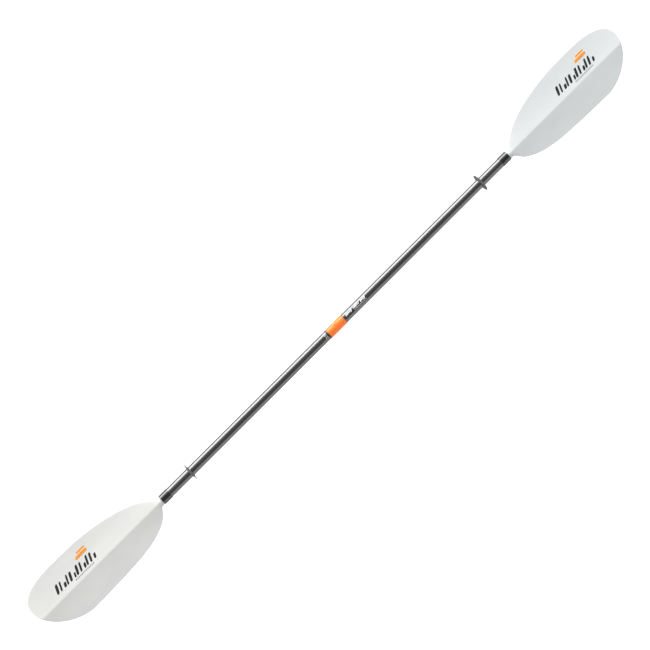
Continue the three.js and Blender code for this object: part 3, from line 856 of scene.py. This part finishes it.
def shaft_label():
    """White bars of different lengths on the right shaft, over a thin rule."""
    low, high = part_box("shaft_label")

    def place(s, t, lift):
        return on_shaft(s, t / SHAFT_RADIUS, SHAFT_RADIUS + INK_LIFT + lift)

    pitch = (high.x - low.x) / (LABEL_BARS + 1)
    bars = []
    for i in range(LABEL_BARS):
        if (i + 1) % LABEL_WORD == 0:
            continue
        height = LABEL_BAR_HEIGHT + LABEL_BAR_SWING * math.sin(LABEL_BAR_WAVE * i + LABEL_WAVE_START)
        middle = low.x + (i + LABEL_FIRST) * pitch
        bars.append((middle, LABEL_BAR_LINE, pitch * LABEL_BAR_SHARE, height, LABEL_SLANT))
    rule_middle = (low.x + high.x) / 2 + RULE_SHIFT * pitch
    bars.append((rule_middle, RULE_LINE, RULE_LENGTH * pitch, RULE_HEIGHT, 0.0))
    mesh = patches("shaft_label_bars", bars, place)
    new_piece("shaft_label_bars", mesh, WHITE_INK, "right_half", ["shaft_label"])


def feather_scale():
    """Ticks and numerals round the left shaft, which show the angle between the blades."""
    _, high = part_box("feather_scale")
    ink_radius = SHAFT_RADIUS + INK_LIFT

    def place(s, t, lift):
        return on_shaft(s, t / SHAFT_RADIUS, ink_radius + lift)

    ticks = []
    for i in range(-SCALE_STEPS, SCALE_STEPS + 1):
        length = TICK_LONG if i % 2 == 0 else TICK_SHORT
        t = (BUTTON_ANGLE + i * SCALE_STEP) * SHAFT_RADIUS
        ticks.append((high.x - length / 2 - TICK_INSET, t, length, TICK_WIDTH, 0.0))
    mesh = patches("feather_ticks", ticks, place, TICK_FINE)
    new_piece("feather_ticks", mesh, WHITE_INK, "left_half", ["feather_scale"])
    for i in range(-SCALE_STEPS, SCALE_STEPS + 1, 2):
        numeral(i, high.x - NUMERAL_INSET, BUTTON_ANGLE + i * SCALE_STEP, ink_radius)


def numeral(step, x, angle, radius):
    """One number of the scale, bent round the shaft."""
    side = "middle" if step == 0 else "plus" if step > 0 else "minus"
    value = round(math.degrees(abs(step) * SCALE_STEP))
    text = bpy.data.curves.new(f"numeral_text_{value}", "FONT")
    text.body = str(value)
    text.size = NUMERAL_SIZE
    text.extrude = INK_LIFT
    text.offset = NUMERAL_WEIGHT
    text.align_x = "CENTER"
    text.resolution_u = 3
    holder = bpy.data.objects.new("numeral_holder", text)
    bpy.context.scene.collection.objects.link(holder)
    graph = bpy.context.evaluated_depsgraph_get()
    mesh = bpy.data.meshes.new_from_object(holder.evaluated_get(graph))
    bpy.data.objects.remove(holder)
    for vertex in mesh.vertices:
        along, up, out = vertex.co
        vertex.co = on_shaft(x + up, angle - along / SHAFT_RADIUS, radius + out)
    new_piece(f"feather_numeral_{side}_{value}", mesh, WHITE_INK, "left_half")


# ---------------------------------------------------------------- shafts, sleeves and rings


def make_shaft(name, material):
    low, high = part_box(f"{name}_shaft")
    profile = sleeve_profile(low.x, high.x, SHAFT_BORE, SHAFT_RADIUS, SHAFT_EDGE)
    mesh = turned(f"{name}_shaft_tube", profile)
    nodes = [f"{name}_shaft"]
    new_piece(f"{name}_shaft_tube", mesh, material, f"{name}_half", nodes)


def make_sleeve(name):
    node_name = f"{name}_end_sleeve"
    low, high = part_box(node_name)
    inner = SHAFT_RADIUS + SEAT_GAP
    profile = sleeve_profile(low.x, high.x, inner, radius_of(node_name), SLEEVE_EDGE)
    mesh = turned(f"{name}_sleeve_skin", profile)
    new_piece(f"{name}_sleeve_skin", mesh, SLEEVE, f"{name}_half", [node_name])


def make_drip_ring(name):
    """A rubber ring: a round-edged hub and a thin flange that flares out of it to a round rim."""
    node_name = f"{name}_drip_ring"
    low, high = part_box(node_name)
    middle = (low.x + high.x) / 2
    half = (high.x - low.x) / 2
    top = radius_of(node_name)
    bore = SHAFT_RADIUS + SEAT_GAP
    hub = bore + DRIP_HUB_WALL
    side = [(half, bore), *arc(half - DRIP_HUB_ROUND, hub - DRIP_HUB_ROUND, DRIP_HUB_ROUND, 0, 90)]
    for i in range(DRIP_STEPS + 1):
        share = i / DRIP_STEPS
        thickness = lerp(DRIP_RIM_HALF, DRIP_ROOT_HALF, (1 - share) ** DRIP_FLARE_POWER)
        side.append((thickness, lerp(hub, top - DRIP_RIM_HALF, share)))
    side += arc(0, top - DRIP_RIM_HALF, DRIP_RIM_HALF, 22.5, 67.5, 2)
    right = [(middle + x, radius) for x, radius in side]
    left = [(middle - x, radius) for x, radius in reversed(side)]
    mesh = turned(f"{name}_ring_rubber", [*right, (middle, top), *left])
    new_piece(f"{name}_ring_rubber", mesh, RUBBER, f"{name}_drip_ring", [node_name])


# ---------------------------------------------------------------- ferrule

BUTTON_LOW, BUTTON_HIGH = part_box("release_button")
BUTTON_X = (BUTTON_LOW.x + BUTTON_HIGH.x) / 2


def slot_loop(length, width, radius, steps=24):
    """A slot outline on a cylinder round the shaft, at the button's place and long in X.

    Loops of one size lie straight over each other at every radius.
    """
    end = width / 2
    reach = length / 2 - end
    loop = []
    for side in (1, -1):
        for step in range(steps + 1):
            turn = math.pi * (step / steps - side / 2)
            along = side * reach + end * math.cos(turn)
            offset = math.asin(end * math.sin(turn) / radius)
            loop.append(on_shaft(BUTTON_X + along, BUTTON_ANGLE + offset, radius))
    return loop


def slot_body(name, levels):
    """A body in the button's shape.

    A level is how far the body stands out past the button, and its distance from the axis.
    """
    return lofted(
        name,
        [slot_loop(BUTTON_LENGTH + 2 * out, BUTTON_WIDTH + 2 * out, radius) for out, radius in levels],
    )


def make_button():
    """A cap with a lip that holds it in, a round rim and a shallow dish for the thumb."""
    levels = [(LIP_OVERHANG, LIP_BOTTOM), (LIP_OVERHANG, LIP_TOP), (0, LIP_TOP)]
    rim = arc(0, BUTTON_TOP - BUTTON_EDGE, BUTTON_EDGE, 0, 90)
    levels += [(x - BUTTON_EDGE, radius) for x, radius in rim]
    reach = DISH_REACH * (BUTTON_WIDTH / 2 - BUTTON_EDGE)
    for i in range(1, DISH_STEPS + 1):
        share = i / DISH_STEPS
        drop = BUTTON_DISH * smoothstep(share, *DISH_SLOPE)
        levels.append((-BUTTON_EDGE - reach * share, BUTTON_TOP - drop))
    mesh = slot_body("button_cap", levels)
    new_piece("button_cap", mesh, ORANGE, "release_button", ["release_button"])
    mesh.set_sharp_from_angle(angle=SHARP_EDGE)


def lip_pocket():
    """The space under the collar in which the button's lip moves."""
    out = LIP_OVERHANG + WINDOW_GAP
    return slot_body("lip_pocket", [(out, POCKET_BOTTOM), (out, POCKET_TOP)])


def make_collar():
    """The orange band, with the button's window in it and a pocket for the lip behind."""
    low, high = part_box("ferrule_collar")
    outer = radius_of("ferrule_collar")
    body = turned("collar_band", sleeve_profile(low.x, high.x, SHAFT_BORE, outer, COLLAR_ROUND))
    wide = WINDOW_GAP + WINDOW_CHAMFER
    window = slot_body(
        "collar_window",
        [
            (WINDOW_GAP, SHAFT_BORE - CUT_SPARE),
            (WINDOW_GAP, outer - WINDOW_CHAMFER),
            (wide, outer),
            (wide, outer + CUT_SPARE),
        ],
    )
    mesh = cut_by(cut_by(body, window), lip_pocket())
    new_piece("collar_band", mesh, ORANGE, "right_half", ["ferrule_collar"])
    mesh.set_sharp_from_angle(angle=SHARP_EDGE)


def make_end_ring():
    low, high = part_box("collar_end_ring")
    inner = SHAFT_BORE + SEAT_GAP
    outer = radius_of("collar_end_ring")
    profile = sleeve_profile(low.x, high.x, inner, outer, SHAFT_EDGE)
    mesh = turned("end_ring_rubber", profile)
    new_piece("end_ring_rubber", mesh, RUBBER, "right_half", ["collar_end_ring"])


# ---------------------------------------------------------------- inside the ferrule


def rod_loop(radius, height):
    """A circle square to the button's direction, at a height over the shaft's axis."""
    middle = on_shaft(BUTTON_X, BUTTON_ANGLE, height)
    along = Vector((1, 0, 0))
    across = Vector((0, math.cos(BUTTON_ANGLE), -math.sin(BUTTON_ANGLE)))
    loop = []
    for step in range(ROD_SIDES):
        turn = 2 * math.pi * step / ROD_SIDES
        loop.append(middle + along * radius * math.cos(turn) + across * radius * math.sin(turn))
    return loop


def with_pin_hole(mesh):
    ends = (PIN_HOLE_BOTTOM, PIN_HOLE_TOP)
    return cut_by(mesh, lofted("pin_hole", [rod_loop(PIN_HOLE_RADIUS, height) for height in ends]))


def groove(ring_name):
    """The groove's corners round a ring that lies in it."""
    low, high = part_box(ring_name)
    start, end = low.x - JOINT_GAP, high.x + JOINT_GAP
    floor = INSERT_RADIUS - GROOVE_DEPTH
    return [(start, INSERT_RADIUS), (start, floor), (end, floor), (end, INSERT_RADIUS)]


def make_insert():
    """The tube that joins the halves: grooves for its rings, a flange and the lock pin's hole."""
    low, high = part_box("ferrule_insert")
    flange_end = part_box("ferrule_collar")[0].x - JOINT_GAP
    flange_start = flange_end - FLANGE_LENGTH
    crest = SHAFT_RADIUS - FLANGE_ROUND
    profile = [
        (low.x, INSERT_BORE),
        (low.x, INSERT_RADIUS - INSERT_CHAMFER),
        (low.x + INSERT_CHAMFER, INSERT_RADIUS),
        *groove("retaining_ring"),
        (flange_start, INSERT_RADIUS),
        *arc(flange_start + FLANGE_ROUND, crest, FLANGE_ROUND, 180, 90),
        *arc(flange_end - FLANGE_ROUND, crest, FLANGE_ROUND, 90, 0),
        (flange_end, INSERT_RADIUS),
        *groove("seal_ring_1"),
        *groove("seal_ring_2"),
        (high.x - INSERT_CHAMFER, INSERT_RADIUS),
        (high.x, INSERT_RADIUS - INSERT_CHAMFER),
        (high.x, INSERT_BORE),
    ]
    mesh = with_pin_hole(turned("insert_tube", profile))
    nodes = ["ferrule_insert"]
    new_piece("insert_tube", mesh, BLACK_PLASTIC, "ferrule_insert", nodes)
    mesh.set_sharp_from_angle(angle=SHARP_EDGE)

    def place(s, t, lift):
        return on_shaft(s, BUTTON_ANGLE + t / SHAFT_RADIUS, SHAFT_RADIUS + INK_LIFT + lift)

    middle = (flange_start + flange_end) / 2
    mark = [(middle, 0.0, FLANGE_LENGTH * INDEX_SHARE, TICK_WIDTH, 0.0)]
    mesh = patches("insert_index", mark, place, TICK_FINE)
    new_piece("insert_index", mesh, WHITE_INK, "ferrule_insert")


def make_seal(name):
    """A rubber ring with a domed outside."""
    low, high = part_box(name)
    middle, half = (low.x + high.x) / 2, (high.x - low.x) / 2
    inner = INSERT_RADIUS - GROOVE_DEPTH + SEAT_GAP
    outer = radius_of(name)
    profile = []
    for step in range(SEAL_STEPS + 1):
        turn = math.pi * step / SEAL_STEPS
        dome = math.sin(turn) ** SEAL_DOME_POWER
        profile.append((middle - half * math.cos(turn), lerp(inner, outer, dome)))
    mesh = turned(f"{name}_rubber", profile)
    new_piece(f"{name}_rubber", mesh, RUBBER, "ferrule_insert", [name])


def make_end_cap():
    """The stopper in the insert's end, with a round edge and a dimple from its moulding."""
    low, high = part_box("insert_end_cap")
    face = high.x - DIMPLE_DEPTH
    profile = [
        (low.x, 0.0),
        (low.x, CAP_STEM_RADIUS - CAP_ROUND),
        (low.x + CAP_ROUND, CAP_STEM_RADIUS),
        (high.x - CAP_HEAD, CAP_STEM_RADIUS),
        (high.x - CAP_HEAD, CAP_HEAD_RADIUS),
        *arc(high.x - CAP_ROUND, CAP_HEAD_RADIUS - CAP_ROUND, CAP_ROUND, 90, 0),
        (high.x, DIMPLE_RADIUS),
        (face, DIMPLE_RADIUS - DIMPLE_DEPTH),
        (face, 0.0),
    ]
    mesh = turned("insert_stopper", profile)
    nodes = ["insert_end_cap"]
    new_piece("insert_stopper", mesh, BLACK_PLASTIC, "ferrule_insert", nodes)
    mesh.set_sharp_from_angle(angle=SHARP_EDGE)


def make_liner():
    """The socket in which the insert slides, with a chamfered mouth and the lock pin's hole."""
    low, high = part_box("socket_liner")
    outer = radius_of("socket_liner")
    profile = [
        (low.x, LINER_BORE + LINER_MOUTH),
        *arc(low.x + LINER_ROUND, outer - LINER_ROUND, LINER_ROUND, 180, 90),
        (high.x, outer),
        (high.x, LINER_BORE),
        (low.x + LINER_MOUTH, LINER_BORE),
    ]
    # The pocket is cut first. In the other order the boolean leaves the cutter's top behind.
    mesh = with_pin_hole(cut_by(turned("liner_tube", profile), lip_pocket()))
    new_piece("liner_tube", mesh, BLACK_PLASTIC, "right_half", ["socket_liner"])
    mesh.set_sharp_from_angle(angle=SHARP_EDGE)


def make_boss():
    """The button's foot, which pushes the lock pin."""
    edge = arc(BOSS_BOTTOM + BOSS_ROUND, BOSS_RADIUS - BOSS_ROUND, BOSS_ROUND, 180, 90)
    loops = [rod_loop(radius, height) for height, radius in [*edge, (LIP_BOTTOM, BOSS_RADIUS)]]
    mesh = lofted("button_boss", loops)
    new_piece("button_boss", mesh, ORANGE, "release_button")


for name, carbon, nylon, side in (
    ("left", CARBON_LEFT_PAINTED_WARM_LIGHT, NYLON_LEFT_PAINTED_WARM_LIGHT, -1), ("right", CARBON_RIGHT_PAINTED_COOL_LIGHT, NYLON_RIGHT_PAINTED_COOL_LIGHT, 1)
):
    make_blade(side, nylon)
    blade_marks(name)
    make_shaft(name, carbon)
    make_sleeve(name)
    make_drip_ring(name)
make_collar()
make_button()
make_end_ring()
make_insert()
make_seal("seal_ring_1")
make_seal("seal_ring_2")
make_end_cap()
make_liner()
make_boss()
shaft_label()
feather_scale()

FINISHES = {
    "foam": FOAM,
    "rubber": RUBBER,
    "ferrule_plastic": BLACK_PLASTIC,
    "spring_steel": STEEL,
    "orange_plastic": ORANGE,
    "printed_film": WHITE_INK,
    "sleeve": SLEEVE,
    "carbon_shaft": CARBON_RIGHT_PAINTED_COOL_LIGHT,
    "blade_nylon": NYLON_RIGHT_PAINTED_COOL_LIGHT,
}
for subpart in frame["record"]["subparts"]:
    cad_node = frame["nodes"][subpart["node"]]
    for material_slot in cad_node.material_slots:
        material_slot.material = FINISHES[subpart["material_slot"]]

# ---------------------------------------------------------------- studio

FLOOR_HALF = 9.0
FLOOR_GLOW = 1.0
KEY_Y = 4.4  # how far it stands beyond mid-width
KEY_SIZE = (9.2, 3.0)
KEY_RADIANCE = 6.2
CEILING = 0.19  # radiance of the dark patch overhead
WALLS = 1.42  # radiance of the rest of the room over the floor
BELOW = 0.85  # radiance from under the floor
CEILING_EDGE = (0.616, 0.866)  # cosines of the angles from the patch's middle, outside and inside
CEILING_TILT = math.radians(11)  # of that middle, towards the blades' short edges


def make_floor():
    """A plain pale floor, which lights neither the paddle's underside nor its lacquer."""
    sides = ((-1, -1), (1, -1), (1, 1), (-1, 1))
    corners = [(x * FLOOR_HALF, y * FLOOR_HALF, 0) for x, y in sides]
    mesh = mesh_from("floor", corners, [(0, 1, 2, 3)])
    material, _, _ = new_material(
        "pale_floor",
        Base_Color=(0.35, 0.35, 0.35, 1),
        Roughness=0.9,
        Specular_IOR_Level=0.0,
        Emission_Color=(1, 1, 1, 1),
        Emission_Strength=FLOOR_GLOW,
    )
    mesh.materials.append(material)
    floor = bpy.data.objects.new("floor", mesh)
    bpy.context.scene.collection.objects.link(floor)
    floor.visible_diffuse = False
    floor.visible_glossy = False
    floor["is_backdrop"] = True


def make_room():
    """A pale room with a darker ceiling, seen only as light and reflections."""
    world = bpy.data.worlds.new("studio")
    bpy.context.scene.world = world
    world.use_nodes = True
    tree = world.node_tree
    direction = node(tree, "TexCoord", {}).outputs["Generated"]
    middle = (0, -math.sin(CEILING_TILT), math.cos(CEILING_TILT))
    cosine = node(tree, "VectorMath", {0: direction, 1: middle}, operation="DOT_PRODUCT")
    outside, inside = CEILING_EDGE
    fade = {
        "Value": cosine.outputs["Value"],
        "From Min": outside,
        "From Max": inside,
        "To Min": WALLS,
        "To Max": CEILING,
    }
    above = node(tree, "MapRange", fade, interpolation_type="SMOOTHSTEP").outputs["Result"]
    up = node(tree, "SeparateXYZ", {"Vector": direction}).outputs["Z"]
    is_up = maths(tree, "GREATER_THAN", up, 0.0)
    extra = maths(tree, "MULTIPLY", is_up, maths(tree, "SUBTRACT", above, BELOW))
    lit = maths(tree, "ADD", extra, BELOW)
    tree.links.new(lit, tree.nodes["Background"].inputs["Strength"])
    tree.nodes["Background"].inputs["Color"].default_value = (1, 1, 1, 1)


def make_key():
    """A long low softbox beyond the long edges of the blades."""
    lamp = bpy.data.lights.new("key_softbox", "AREA")
    lamp.shape = "RECTANGLE"
    lamp.size, lamp.size_y = KEY_SIZE
    lamp.energy = KEY_RADIANCE * math.pi * KEY_SIZE[0] * KEY_SIZE[1]
    key = bpy.data.objects.new("key_softbox", lamp)
    key.location = (0, KEY_Y, AXIS_Z + KEY_SIZE[1] / 2)
    key.rotation_euler = (math.pi / 2, 0, math.pi)
    key.visible_camera = False
    bpy.context.scene.collection.objects.link(key)


CAMERA_DISTANCE = 4.6
CAMERA_TILT = math.radians(4.68)  # the left end is nearer
CAMERA_ROLL = math.radians(44.895)  # how steeply the shaft rises in the picture
PICTURE_WIDTH = 1.822  # metres across the picture at the paddle
MIDDLE_RIGHT = 0.0333  # where mid-length is in the picture, from its centre
MIDDLE_UP = -0.0023


def make_camera():
    data = bpy.data.cameras.new("camera")
    data.sensor_width = 36.0
    data.lens = data.sensor_width * CAMERA_DISTANCE / PICTURE_WIDTH
    camera = bpy.data.objects.new("camera", data)
    bpy.context.scene.collection.objects.link(camera)
    turn = Matrix.Rotation(-CAMERA_TILT, 4, "Y") @ Matrix.Rotation(-CAMERA_ROLL, 4, "Z")
    right, up, back = (turn.col[i].to_3d() for i in range(3))
    target = Vector((0, AXIS_Y, AXIS_Z)) - right * MIDDLE_RIGHT - up * MIDDLE_UP
    camera.matrix_world = Matrix.Translation(target + back * CAMERA_DISTANCE) @ turn
    bpy.context.scene.camera = camera


make_floor()
make_room()
make_key()
make_camera()
bpy.context.scene.view_settings.view_transform = "Standard"

boxes = {"cad": CAD_BOX, "visual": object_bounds()}
{key: [list(corner) for corner in box] for key, box in boxes.items()}
